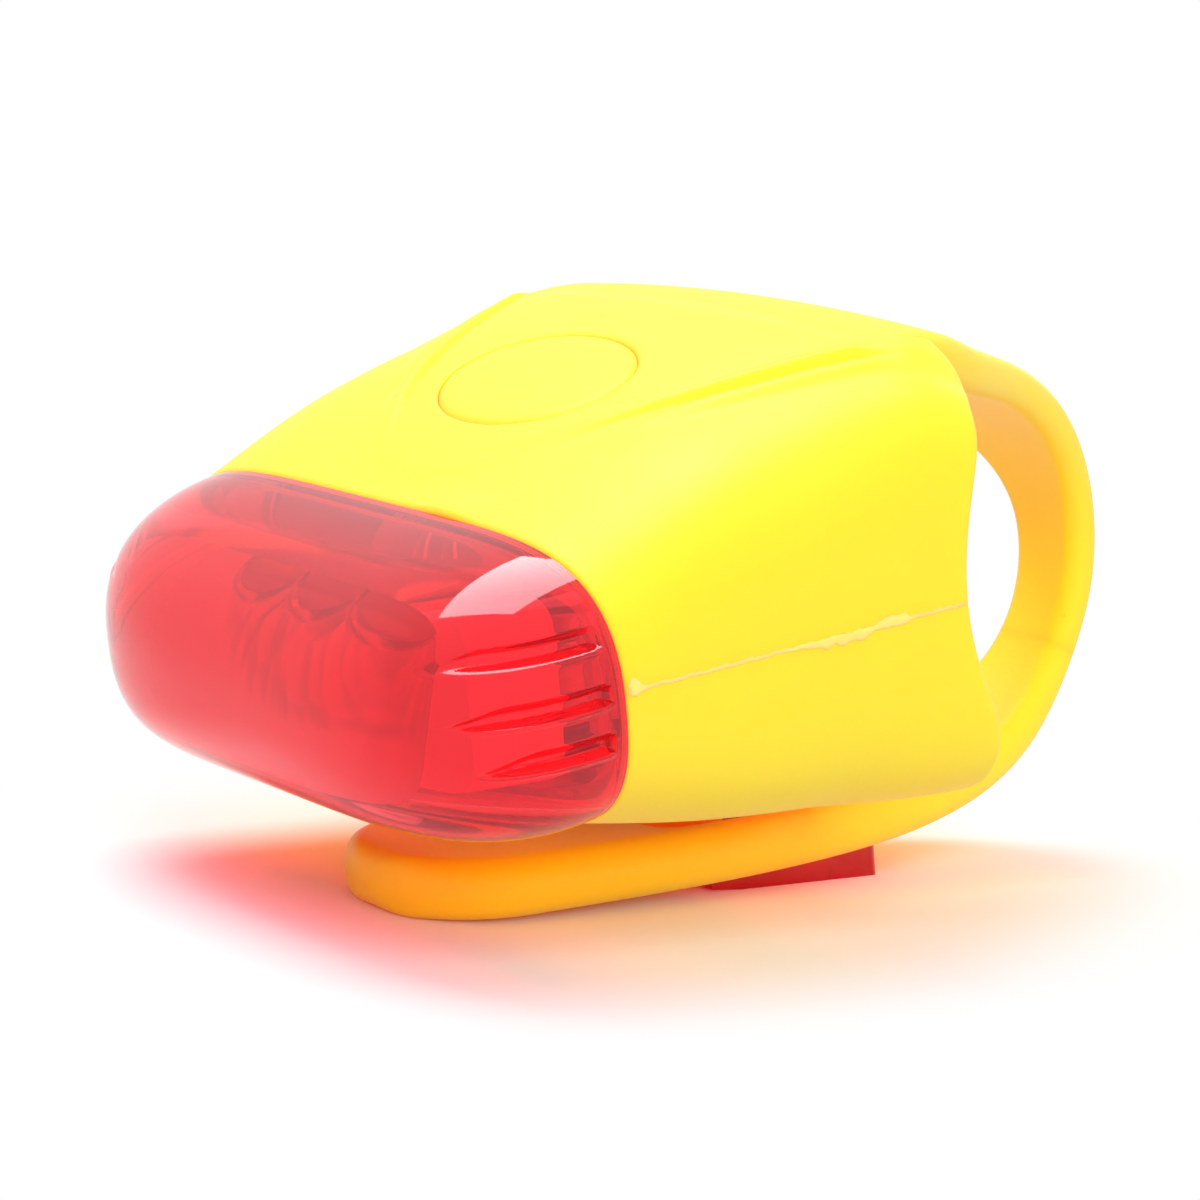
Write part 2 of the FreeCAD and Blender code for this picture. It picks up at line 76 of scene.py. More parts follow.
# Camera.
# A long lens in front of the light's near corner, looking a little down at it and rolled a little. Its
# place and angles are in the upright millimetres that the pieces are drawn in.
camera_turn = math.radians(55.0)
camera_dip = math.radians(14.8)
camera_roll = math.radians(-5.1)
camera_place = (186.5, -114.1, 57.8)
ahead = np.array([
    -math.sin(camera_turn) * math.cos(camera_dip),
    math.cos(camera_turn) * math.cos(camera_dip),
    -math.sin(camera_dip),
])
side = np.array([math.cos(camera_turn), math.sin(camera_turn), 0.0])
above = np.cross(side, ahead)
right = math.cos(camera_roll) * side + math.sin(camera_roll) * above
upward = -math.sin(camera_roll) * side + math.cos(camera_roll) * above
lean_turn = np.array([[1, 0, 0], [0, lean_cos, -lean_sin], [0, lean_sin, lean_cos]])
camera_data = bpy.data.cameras.new("camera")
camera_data.sensor_width = 36.0
camera_data.lens = 108.0
camera_data.clip_start = 0.01
camera_data.clip_end = 20.0
camera = bpy.data.objects.new("camera", camera_data)
bpy.context.scene.collection.objects.link(camera)
axes = np.stack([lean_turn @ right, lean_turn @ upward, -(lean_turn @ ahead)], axis=1)
camera_matrix = Matrix(axes.tolist()).to_4x4()
camera_matrix.translation = Vector(stand(camera_place).tolist())
camera.matrix_world = camera_matrix
bpy.context.scene.camera = camera


# Table, backdrop and lamps.
# A white table, whose coloured shadow fades into a white backdrop, under three soft boxes: one overhead
# that leaves its gloss on the lens, a wide one on the camera's side, and a weak one behind.
def new_material(name):
    """An empty node material with its output node."""
    material = bpy.data.materials.new(name)
    material.use_nodes = True
    tree = material.node_tree
    tree.nodes.clear()
    return material, tree, tree.nodes.new("ShaderNodeOutputMaterial")


def add_node(tree, kind, settings=None, **links):
    """One node. Settings are its properties, and links its inputs: by name with _ for a space, or by
    place as i0, i1 and so on."""
    node = tree.nodes.new(kind)
    for key, value in (settings or {}).items():
        setattr(node, key, value)
    for key, value in links.items():
        by_place = key[0] == "i" and key[1:].isdigit()
        socket = node.inputs[int(key[1:]) if by_place else key.replace("_", " ")]
        if isinstance(value, bpy.types.NodeSocket):
            tree.links.new(value, socket)
        else:
            socket.default_value = value
    return node


def seen_mask(tree):
    """1 for rays from the camera, off a gloss or through glass, which see the set as plain white."""
    path = add_node(tree, "ShaderNodeLightPath")
    first = add_node(tree, "ShaderNodeMath", {"operation": "MAXIMUM"},
                     i0=path.outputs["Is Camera Ray"], i1=path.outputs["Is Glossy Ray"])
    both = add_node(tree, "ShaderNodeMath", {"operation": "MAXIMUM"},
                    i0=first.outputs[0], i1=path.outputs["Is Transmission Ray"])
    return both.outputs[0]


table_near = 0.033
table_far = 0.060
table_stretch = (1.5, 1.0, 1.0)
table_shift = (0.0045, 0.008, 0.0)
table_glow = 0.75
table_half = 3.0
cloth_white = (0.88, 0.88, 0.88, 1.0)
plain_white = (1.0, 1.0, 1.0, 1.0)
fill_strength = 0.29
table_material, tree, output = new_material("table_white")
cloth = add_node(tree, "ShaderNodeBsdfDiffuse", Color=cloth_white)
glow = add_node(tree, "ShaderNodeMath", {"operation": "MULTIPLY_ADD"}, i0=seen_mask(tree),
                i1=1.0 - table_glow, i2=table_glow)
sheet = add_node(tree, "ShaderNodeEmission", Color=plain_white, Strength=glow.outputs[0])
place = add_node(tree, "ShaderNodeTexCoord")
oval = add_node(tree, "ShaderNodeVectorMath", {"operation": "MULTIPLY_ADD"}, i0=place.outputs["Object"],
                i1=table_stretch, i2=table_shift)
way = add_node(tree, "ShaderNodeVectorMath", {"operation": "LENGTH"}, i0=oval.outputs[0])
fade = add_node(tree, "ShaderNodeMapRange", {"interpolation_type": "SMOOTHSTEP"}, Value=way.outputs["Value"],
                From_Min=table_near, From_Max=table_far)
total = add_node(tree, "ShaderNodeMixShader", i0=fade.outputs[0], i1=cloth.outputs[0], i2=sheet.outputs[0])
tree.links.new(total.outputs[0], output.inputs["Surface"])
table_mesh = bpy.data.meshes.new("table")
table_corners = [(x * table_half, y * table_half, 0) for x, y in ((-1, -1), (1, -1), (1, 1), (-1, 1))]
table_mesh.from_pydata(table_corners, [], [(0, 1, 2, 3)])
table_mesh.materials.append(table_material)
table = bpy.data.objects.new("table", table_mesh)
bpy.context.scene.collection.objects.link(table)

world = bpy.data.worlds.new("studio")
world.use_nodes = True
bpy.context.scene.world = world
tree = world.node_tree
tree.nodes.clear()
strength = add_node(tree, "ShaderNodeMath", {"operation": "MULTIPLY_ADD"}, i0=seen_mask(tree),
                    i1=1.0 - fill_strength, i2=fill_strength)
background = add_node(tree, "ShaderNodeBackground", Color=plain_white, Strength=strength.outputs[0])
add_node(tree, "ShaderNodeOutputWorld", Surface=background.outputs[0])


def soft_box(name, place, aim, width, height, power):
    """Rectangular area lamp at a place, facing an aim, both in metres."""
    data = bpy.data.lights.new(name, "AREA")
    data.shape = "RECTANGLE"
    data.size = width
    data.size_y = height
    data.energy = power
    lamp = bpy.data.objects.new(name, data)
    bpy.context.scene.collection.objects.link(lamp)
    lamp.location = place
    lamp.rotation_mode = "QUATERNION"
    lamp.rotation_quaternion = (Vector(aim) - Vector(place)).to_track_quat("-Z", "Y")
    return lamp


lamp_middle = (0.0, 0.0, 0.018)
soft_box("soft_box_top", (-0.16, -0.04, 0.44), lamp_middle, 0.34, 0.24, 1.85)
front_box = soft_box("soft_box_front", (0.40, -0.16, 0.27), lamp_middle, 0.40, 0.40, 2.15)
rear_box = soft_box("soft_box_rear", (0.24, 0.36, 0.26), lamp_middle, 0.40, 0.40, 0.35)
front_box.visible_glossy = False
rear_box.visible_glossy = False
bpy.context.scene.view_settings.view_transform = "Standard"


# Circuit board, switch, cells and contacts.
# The hidden works behind the lens keep their shapes from the frame and get their own finishes:
# green laminate, tinned metal, black epoxy and white nylon.
def grain_group():
    """Fine unevenness of a moulded or rolled surface from noise on object coordinates: Height is its fine
    grain, and Blotch a slow drift for the colour."""
    group = bpy.data.node_groups.new("surface_grain", "ShaderNodeTree")
    group.interface.new_socket("Scale", in_out="INPUT", socket_type="NodeSocketFloat")
    group.interface.new_socket("Detail", in_out="INPUT", socket_type="NodeSocketFloat")
    group.interface.new_socket("Height", in_out="OUTPUT", socket_type="NodeSocketFloat")
    group.interface.new_socket("Blotch", in_out="OUTPUT", socket_type="NodeSocketFloat")
    inside = group.nodes.new("NodeGroupInput")
    outside = group.nodes.new("NodeGroupOutput")
    place = add_node(group, "ShaderNodeTexCoord")
    fine = add_node(group, "ShaderNodeTexNoise", Vector=place.outputs["Object"],
                    Scale=inside.outputs["Scale"], Detail=inside.outputs["Detail"], Roughness=0.55)
    coarse = add_node(group, "ShaderNodeTexNoise", Vector=place.outputs["Object"], Scale=160.0, Detail=3.0)
    group.links.new(fine.outputs["Fac"], outside.inputs["Height"])
    group.links.new(coarse.outputs["Fac"], outside.inputs["Blotch"])
    return group


surface_grain = grain_group()


def mix_colours(tree, share, first, second):
    """The colour between two: the first where the share is 0 and the second where it is 1."""
    return add_node(tree, "ShaderNodeMix", {"data_type": "RGBA"}, i0=share, i6=first, i7=second).outputs[2]


def bent_normal(tree, height, depth):
    """The normal of a surface whose height runs over a depth in metres."""
    return add_node(tree, "ShaderNodeBump", Height=height, Strength=1.0, Distance=depth).outputs[0]


rough_spread = 0.15


def finish(name, pale, deep, roughness, grain_scale, grain_depth, metallic=0.0):
    """A plain finish: colour drifts between two shades, and roughness and height follow the grain."""
    material, tree, output = new_material(name)
    grain = add_node(tree, "ShaderNodeGroup", {"node_tree": surface_grain}, Scale=grain_scale, Detail=4.0)
    rough = add_node(tree, "ShaderNodeMapRange", Value=grain.outputs["Height"],
                     To_Min=roughness * (1 - rough_spread), To_Max=min(roughness * (1 + rough_spread), 1.0))
    shader = add_node(tree, "ShaderNodeBsdfPrincipled", Metallic=metallic, Roughness=rough.outputs[0],
                      Base_Color=mix_colours(tree, grain.outputs["Blotch"], deep, pale),
                      Normal=bent_normal(tree, grain.outputs["Height"], grain_depth))
    tree.links.new(shader.outputs[0], output.inputs["Surface"])
    return material


def dress(node, material):
    """Gives a node of the frame its finish."""
    mesh = frame["nodes"][node].data
    mesh.materials.clear()
    mesh.materials.append(material)


works = {
    "circuit_board": ("board_green", (0.03, 0.20, 0.07, 1), (0.015, 0.13, 0.045, 1), 0.35, 3000, 1e-5),
    "switch_body": ("switch_tin", (0.62, 0.62, 0.60, 1), (0.50, 0.50, 0.49, 1), 0.32, 5000, 1e-5, 1.0),
    "switch_plunger": ("plunger_black", (0.02, 0.02, 0.022, 1), (0.01, 0.01, 0.01, 1), 0.4, 5000, 1e-5),
    "control_chip": ("chip_black", (0.018, 0.018, 0.02, 1), (0.01, 0.01, 0.01, 1), 0.55, 9000, 1e-5),
    "battery_upper": ("cell_steel", (0.72, 0.71, 0.69, 1), (0.60, 0.59, 0.58, 1), 0.22, 2500, 5e-6, 1.0),
    "battery_cradle": ("cradle_nylon", (0.86, 0.85, 0.80, 1), (0.78, 0.77, 0.72, 1), 0.5, 4000, 1e-5),
    "contact_spring": ("contact_nickel", (0.75, 0.7, 0.6, 1), (0.62, 0.57, 0.48, 1), 0.25, 6000, 5e-6, 1.0),
    "lens_gasket": ("gasket_black", (0.03, 0.03, 0.03, 1), (0.015, 0.015, 0.015, 1), 0.7, 6000, 2e-5),
}
same_finish = {
    "battery_lower": "battery_upper",
    "contact_clip": "contact_spring",
    "board_screws": "contact_spring",
    "resistor_left": "control_chip",
    "resistor_middle": "control_chip",
    "resistor_right": "control_chip",
}
works_finish = {node: finish(*values) for node, values in works.items()}
for node, material in works_finish.items():
    dress(node, material)
for node, like in same_finish.items():
    dress(node, works_finish[like])


# Reflector and round lamps.
# A pale moulded block with three cups holds the three round lamps close behind the lens.
def dimpled(name, plain, pale, deep, roughness, cell_scale, cell_depth, centre, reach):
    """A bright moulded finish with small rounded facets inside an oval: there Voronoi cells give the height,
    and each cell's colour is set between pale and deep, a painted glint and shade for how each facet catches
    the light."""
    material, tree, output = new_material(name)
    place = add_node(tree, "ShaderNodeTexCoord").outputs["Object"]
    cells = add_node(tree, "ShaderNodeTexVoronoi", {"feature": "SMOOTH_F1"}, Vector=place,
                     Scale=cell_scale, Smoothness=0.3)
    offset = add_node(tree, "ShaderNodeVectorMath", {"operation": "SUBTRACT"}, i0=place, i1=centre)
    scaled = add_node(tree, "ShaderNodeVectorMath", {"operation": "MULTIPLY"}, i0=offset.outputs[0],
                      i1=(1 / reach[0], 0.0, 1 / reach[1]))
    away = add_node(tree, "ShaderNodeVectorMath", {"operation": "LENGTH"}, i0=scaled.outputs[0])
    mask = add_node(tree, "ShaderNodeMapRange", {"interpolation_type": "SMOOTHSTEP"},
                    Value=away.outputs["Value"], From_Min=0.85, From_Max=1.15, To_Min=1.0, To_Max=0.0)
    grain = add_node(tree, "ShaderNodeGroup", {"node_tree": surface_grain}, Scale=1200.0, Detail=3.0)
    rough = add_node(tree, "ShaderNodeMapRange", Value=grain.outputs["Height"],
                     To_Min=roughness, To_Max=roughness * (1 + 2 * rough_spread))
    # Painted glints and shade: each facet gets its own colour between deep and pale, standing for the light
    # it catches.
    shade = add_node(tree, "ShaderNodeSeparateColor", Color=cells.outputs["Color"])
    painted_facet_glints = mix_colours(tree, shade.outputs[0], deep, pale)
    height = add_node(tree, "ShaderNodeMath", {"operation": "MULTIPLY"},
                      i0=cells.outputs["Distance"], i1=mask.outputs[0])
    shader = add_node(tree, "ShaderNodeBsdfPrincipled", Roughness=rough.outputs[0],
                      Base_Color=mix_colours(tree, mask.outputs[0], plain, painted_facet_glints),
                      Normal=bent_normal(tree, height.outputs[0], cell_depth))
    tree.links.new(shader.outputs[0], output.inputs["Surface"])
    return material


# The reflector's cups carry painted glints and shade in their facet colours.
dress("reflector", dimpled(
    "reflector_pink", plain=(1.0, 0.50, 0.46, 1), pale=(1.0, 0.34, 0.20, 1), deep=(0.92, 0.02, 0.005, 1),
    roughness=0.18, cell_scale=720.0, cell_depth=8e-4, centre=(0.0, 0.0, 0.0180), reach=(0.0105, 0.0042)))
drift_gain = 1.06
polish_tint = (1.0, 0.72, 0.92, 1.0)


def clear_red(name, colour, shade, roughness, ior, clearness, wave_scale, wave_depth):
    """Clear red plastic with a little milk in it and a polished skin. Its shadow is a red tint, so that
    lamplight reaches what lies inside."""
    material, tree, output = new_material(name)
    grain = add_node(tree, "ShaderNodeGroup", {"node_tree": surface_grain}, Scale=wave_scale, Detail=1.0)
    paler = tuple(min(part * drift_gain, 1.0) for part in colour)
    shader = add_node(tree, "ShaderNodeBsdfPrincipled", Roughness=roughness, IOR=ior,
                      Transmission_Weight=clearness, Coat_Weight=0.4, Coat_Roughness=0.02,
                      Specular_Tint=polish_tint,
                      Base_Color=mix_colours(tree, grain.outputs["Blotch"], colour, paler),
                      Normal=bent_normal(tree, grain.outputs["Height"], wave_depth))
    through = add_node(tree, "ShaderNodeBsdfTransparent", Color=shade)
    path = add_node(tree, "ShaderNodeLightPath")
    either = add_node(tree, "ShaderNodeMath", {"operation": "MAXIMUM"},
                      i0=path.outputs["Is Shadow Ray"], i1=path.outputs["Is Diffuse Ray"])
    mixed = add_node(tree, "ShaderNodeMixShader", i0=either.outputs[0],
                     i1=shader.outputs[0], i2=through.outputs[0])
    tree.links.new(mixed.outputs[0], output.inputs["Surface"])
    return material


led_clear = clear_red("led_clear", colour=(1.0, 0.55, 0.52, 1), shade=(1.0, 0.8, 0.78, 1), roughness=0.04,
                      ior=1.53, clearness=1.0, wave_scale=900, wave_depth=2e-5)
for node in ("led_left", "led_middle", "led_right"):
    dress(node, led_clear)


# Lens.
# One thick clear red moulding: a drooping dome outside, a flat-faced box inside, and three barred
# recesses in each flank. Its neck slides into the sleeve.
front_half_width = 25.2
front_top = 7.9
front_bottom = -10.1
front_middle = (front_top + front_bottom) / 2
front_rise = (front_top - front_bottom) / 2
front_power_x = 5.3
front_power_z = 2.5
lens_reach = 12.2
lens_droop = 0.12
nose_power = 3.6
neck_inset = 1.75
neck_length = 6.0
rib_levels = (2.7, -0.5, -3.4)
rib_fronts = (-9.9, -9.8, -8.6)
rib_slope = 0.09
rib_height = 1.3
rib_depth = 0.95
rib_lip = 0.15
rib_rear = -0.9
rib_inner = 15.0
rib_inner_fade = 3.0
rib_start = 0.25
rib_run_out = 3.2
rib_taper = 3.6
rib_tip_share = 0.3
ledge_edge = 0.28
ledge_lip_drop = 0.13
ledge_lip_width = 0.14


def smooth(value):
    """Rises from 0 to 1 as the value does, level at both ends."""
    value = np.clip(value, 0.0, 1.0)
    return value * value * (3 - 2 * value)


def power(wave, exponent):
    """The wave raised to a power with its sign kept, which squares up a circle."""
    return np.sign(wave) * np.abs(wave) ** exponent


side_from = 0.93


def even_turns(count, width, height, power_x, power_z, side_share=1.0, top_share=1.0):
    """Turns round a squared oval at even steps along its outline, denser on its sides or its top by a
    share."""
    turn = np.linspace(0.0, 2 * np.pi, 20001)
    x = width * power(np.cos(turn), 2 / power_x)
    z = height * power(np.sin(turn), 2 / power_z)
    step = np.hypot(np.diff(x), np.diff(z))
    on_side = np.abs(x[:-1]) > width * side_from
    share = np.where(on_side, side_share, np.where(z[:-1] > 0, top_share, 1.0))
    way = np.concatenate([[0.0], np.cumsum(step * share)])
    return np.interp(np.arange(count) * way[-1] / count, way, turn)


pole_merge = 2e-7


def ring_mesh(name, rings, caps=False):
    """A mesh from an array of rings (ring, point, 3) in upright millimetres, with its faces turned outward.

    Neighbouring points make quads round each ring and from ring to ring. The first and last ring
    are poles, whose points are merged, or get a flat cap each.
    """
    rows, columns = rings.shape[:2]
    index = np.arange(rows * columns).reshape(rows, columns)
    beside = np.roll(index, -1, axis=1)
    faces = np.stack([index[:-1], beside[:-1], beside[1:], index[1:]], axis=-1).reshape(-1, 4).tolist()
    if caps:
        faces += [index[0].tolist(), index[-1].tolist()]
    mesh = bpy.data.meshes.new(name)
    mesh.from_pydata(stand(rings).reshape(-1, 3), [], faces)
    work = bmesh.new()
    work.from_mesh(mesh)
    if not caps:
        bmesh.ops.remove_doubles(work, verts=work.verts, dist=pole_merge)
    bmesh.ops.recalc_face_normals(work, faces=work.faces)
    work.to_mesh(mesh)
    work.free()
    piece = bpy.data.objects.new(name, mesh)
    bpy.context.scene.collection.objects.link(piece)
    return piece


def skin(name, rings, material, body, sharp=40.0):
    """A shown piece from rings that end in poles: smooth but for its sharp edges, with its material,
    the body that it rides on, if it is no blend."""
    piece = ring_mesh(name, rings)
    piece.data.shade_smooth()
    piece.data.set_sharp_from_angle(angle=math.radians(sharp))
    piece.data.materials.append(material)
    if body:
        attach(piece, body)
    return piece


def lens_outside(turn, depth):
    """The dome: a squared oval whose reach falls off toward the nose as a root of 1 - (depth/reach)^2."""
    share = np.maximum(1 - (depth / lens_reach) ** 2, 0.0)
    x = front_half_width * share ** (1 / nose_power) * power(np.cos(turn), 2 / front_power_x)
    rise = front_rise * share ** (1 / front_power_z)
    return x, front_middle + lens_droop * depth + rise * power(np.sin(turn), 2 / front_power_z)


def bell(value, place, width):
    """1 at its place, falling off to both sides as exp(-((value - place) / width)^2)."""
    return np.exp(-((value - place) / width) ** 2)


def rib_sink(x, depth, z):
    """How deep the bars are cut: each has a crisp lipped ledge below, and fades upward and forward."""
    sink = np.zeros(np.broadcast(x, depth, z).shape)
    for level, front in zip(rib_levels, rib_fronts):
        along = smooth((rib_rear - depth) / rib_start) * smooth((depth - front) / rib_run_out)
        tall = rib_height * (rib_tip_share + (1 - rib_tip_share) * smooth((depth - front) / rib_taper))
        above_ledge = z - level - rib_slope * (depth + 1.0)
        across = smooth(above_ledge / ledge_edge) * (1 - smooth((above_ledge - 0.5 * tall) / (0.6 * tall)))
        lip = rib_lip * bell(above_ledge, -ledge_lip_drop, ledge_lip_width)
        sink = sink + (rib_depth * across - lip) * along
    return sink * smooth((np.abs(x) - rib_inner) / rib_inner_fade)


lens_columns = 760
nose_rows = 72
lens_turns = even_turns(lens_columns, front_half_width, front_rise, front_power_x, front_power_z,
                        side_share=4.0)[None, :]
depth = -lens_reach * np.cos(np.linspace(0.0, np.pi / 2, nose_rows)[:, None])
x, z = lens_outside(lens_turns, depth)
outside = np.stack([x - np.sign(x) * rib_sink(x, depth + 0 * x, z), depth + 0 * x, z], axis=-1)

inner_power = 7.0
window_top = 4.5
window_low = -6.4
window_top_depth = -6.3
window_low_depth = -9.4
window_half_width = 17.2
mouth_half_width = 23.2
mouth_top = 5.9
mouth_low = -8.2
wall_bow = 1.6
neck_lift = 0.35
neck_bore = np.array([0.955, 1.0, 0.88])
neck_bore_drop = np.array([0.0, 0.0, -0.1])


def lens_inside(turn, share, shrink):
    """The box behind the dome: walls run from the mouth (share 0) to the window's edge (share 1),
    and the leaning flat window closes it as shrink falls to 0."""
    top = mouth_top + (window_top - mouth_top) * share
    low = mouth_low + (window_low - mouth_low) * share
    half = mouth_half_width + (window_half_width - mouth_half_width) * share ** wall_bow
    x = half * shrink * power(np.cos(turn), 2 / inner_power)
    z = (top + low) / 2 + (top - low) / 2 * shrink * power(np.sin(turn), 2 / inner_power)
    lean = (window_top_depth - window_low_depth) / (window_top - window_low)
    window = window_low_depth + lean * (z - window_low)
    return np.stack([x, window * share, z], axis=-1)


neck_depths = np.array([0.3, neck_length * 0.5, neck_length])[:, None]
neck_x = (front_half_width - neck_inset) * power(np.cos(lens_turns), 2 / front_power_x) + 0 * neck_depths
neck_z = front_middle + (front_rise - neck_inset) * power(np.sin(lens_turns), 2 / front_power_z)
neck_z = neck_z + neck_lift * np.clip(np.sin(lens_turns), 0, 1) * neck_depths
neck = np.stack([neck_x, neck_depths + 0 * neck_x, neck_z], axis=-1)
lip_x, lip_z = lens_outside(lens_turns, np.array([[0.0]]))
lip_ring = np.stack([lip_x, 0 * lip_x, lip_z], axis=-1)
bore = neck[::-1] * neck_bore + neck_bore_drop
shares = np.linspace(0.0, 1.0, 26)[:, None]
walls = lens_inside(lens_turns, shares, np.ones_like(shares))
shrinks = np.array([0.985, 0.96, 0.9, 0.7, 0.4, 0.0])[:, None]
window = lens_inside(lens_turns, np.ones_like(shrinks), shrinks)
lens_rings = np.concatenate([outside, lip_ring, neck, bore, walls, window])
lens_red = clear_red("lens_red", colour=(1.0, 0.06, 0.075, 1), shade=(1.0, 0.18, 0.42, 1), roughness=0.03,
                     ior=1.33, clearness=0.86, wave_scale=120, wave_depth=3e-5)
lens = skin("lens_shell", lens_rings, lens_red, "lamp", sharp=35.0)
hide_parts("lens")


# Rear case and hook.
# Dark red case behind the lens, with the hook that drops through the sleeve and turns forward.
case_red = clear_red("case_red", colour=(0.50, 0.004, 0.005, 1), shade=(0.9, 0.10, 0.10, 1), roughness=0.10,
                     ior=1.40, clearness=0.6, wave_scale=700, wave_depth=2e-5)
dress("rear_case", case_red)


# Silicone sleeve.
# Matte yellow silicone, moulded in one with the root of the strap: a wedge with a raised middle
# whose edges spread to the rear, and a saddle at the back that seats on the bar.
flank_flare = 0.07
top_slope = 0.53
top_curve = 0.0083
crest_y = 24.0
crest_drop = 0.06
bottom_slope = 0.28
bottom_curve = 0.0044
sleeve_wall = 1.6
rear_power_x = 5.2
rear_power_z = 3.2
ear_power_x = 7.5
ear_power_z = 3.9
ear_start = 16.0
body_length = 28.2
crest_nose = 3.4
crest_bow = 14.4
crest_fall = 0.0025
crease_step = 1.2
crease_full_y = 18.0
crease_width = 2.9
crest_end = 23.5
crest_end_fade = 4.5
plain_middle = 1.5
plain_middle_fade = 5.0
nose_length = 10.0
merge_from = 24.0
merge_length = 4.0
merge_spill = 1.8
merge_fade = 5.0
settle_high = 0.03
settle_fall = 0.08
settle_from = 27.0
settle_length = 4.0
dimple_x = -3.4
dimple_y = 20.6
dimple_radius = 0.42
dimple_sink = 0.22
lip_gap = 0.06
lip_lift = 0.28
lip_lift_x = 7.5
lip_lift_width = 3.2
lip_lift_depth = 3.0
cavity_end = 23.2
rim_radius = 0.35
rear_radius = 0.7
saddle_top = 15.4
ear_drop = 8.7
ear_ease = 0.45
upper_ear_lean = 0.173
lower_ear_lean = 0.092
silicone_grain = 2.2e-5
silicone_shadow = (0.92, 0.36, 0.03, 1)
dust_brown = (0.45, 0.30, 0.05, 1)
dust_strength = 0.2
dust_share = 0.14
# Where the painted orange shade of the strap starts and where it is full, by depth in metres.
painted_shade_from = 0.030
painted_shade_full = -0.018


def silicone(name, colour, deep, painted_shade_tone=None):
    """Matte silicone: light sinks in a little, a soft sheen at the edges, fine grain, and dust specks. A
    second tone, where given, is painted shade: an orange that takes over from the back of the bar to the tip
    of the pull tab, where the body shades the strap and the lens's red light falls on it."""
    material, tree, output = new_material(name)
    grain = add_node(tree, "ShaderNodeGroup", {"node_tree": surface_grain}, Scale=2600.0, Detail=5.0)
    place = add_node(tree, "ShaderNodeTexCoord").outputs["Object"]
    specks = add_node(tree, "ShaderNodeTexVoronoi", Vector=place, Scale=330.0)
    dot = add_node(tree, "ShaderNodeMapRange", Value=specks.outputs["Distance"],
                   From_Min=0.035, From_Max=0.06, To_Min=dust_strength, To_Max=0.0)
    rare = add_node(tree, "ShaderNodeSeparateColor", Color=specks.outputs["Color"])
    some = add_node(tree, "ShaderNodeMath", {"operation": "GREATER_THAN"},
                    i0=rare.outputs[0], i1=1 - dust_share)
    dust = add_node(tree, "ShaderNodeMath", {"operation": "MULTIPLY"}, i0=dot.outputs[0], i1=some.outputs[0])
    tone = mix_colours(tree, grain.outputs["Blotch"], deep, colour)
    tone = mix_colours(tree, dust.outputs[0], tone, dust_brown)
    # Painted shade: toward the pull tab's tip the colour turns orange, standing for the body's shade and the
    # red light from the lens.
    if painted_shade_tone:
        along = add_node(tree, "ShaderNodeSeparateXYZ", Vector=place)
        forward = add_node(tree, "ShaderNodeMapRange", {"interpolation_type": "SMOOTHSTEP"},
                           Value=along.outputs["Y"], From_Min=painted_shade_from, From_Max=painted_shade_full)
        tone = mix_colours(tree, forward.outputs[0], tone, painted_shade_tone)
    rough = add_node(tree, "ShaderNodeMapRange", Value=grain.outputs["Blotch"], To_Min=0.42, To_Max=0.56)
    shader = add_node(tree, "ShaderNodeBsdfPrincipled", Base_Color=tone, Roughness=rough.outputs[0],
                      IOR=1.41, Subsurface_Weight=0.5, Subsurface_Radius=(1.0, 0.75, 0.25),
                      Subsurface_Scale=0.0025, Sheen_Weight=0.08, Sheen_Roughness=0.4,
                      Normal=bent_normal(tree, grain.outputs["Height"], silicone_grain))
    through = add_node(tree, "ShaderNodeBsdfTransparent", Color=silicone_shadow)
    path = add_node(tree, "ShaderNodeLightPath")
    mixed = add_node(tree, "ShaderNodeMixShader", i0=path.outputs["Is Shadow Ray"],
                     i1=shader.outputs[0], i2=through.outputs[0])
    tree.links.new(mixed.outputs[0], output.inputs["Surface"])
    return material


sunny = (0.97, 0.73, 0.03, 1)
sunny_deep = (0.95, 0.69, 0.025, 1)
yellow = silicone("silicone_yellow", sunny, sunny_deep)


def top_height(depth):
    """Height of the top line: a parabola that drops off past the crest."""
    past_crest = np.maximum(depth - crest_y, 0)
    return front_top + top_slope * depth - top_curve * depth ** 2 - crest_drop * past_crest ** 2


def bottom_height(depth):
    """Height of the bottom line, a parabola."""
    return front_bottom - bottom_slope * depth + bottom_curve * depth ** 2


def rear_depth(z):
    """Depth of the back at a height: the saddle's arc, eased into a nearly upright ear above and below."""
    arc = saddle_depth - np.sqrt(np.maximum(saddle_radius ** 2 - (z - saddle_height) ** 2, 1.0))
    bulge = saddle_depth - math.sqrt(saddle_radius ** 2 - ear_drop ** 2)
    above_ear = bulge - upper_ear_lean * (z - saddle_height - ear_drop)
    below_ear = bulge + lower_ear_lean * (saddle_height - ear_drop - z)
    ear = np.where(z > saddle_height, above_ear, below_ear)
    return -ear_ease * np.log(np.exp(-arc / ear_ease) + np.exp(-ear / ear_ease))


# The lines past the crest's edge: height, distance from the edge, width, the depth where each starts
# to grow, and whether it stays off the middle.
crest_lines = (
    (-0.25, 0.0, 0.24, 2.0, True),
    (-0.24, 1.25, 0.20, 9.0, False),
    (0.34, 0.65, 0.42, 5.0, True),
    (0.42, 2.10, 0.62, 9.0, False),
)
crest_grow = 7.0


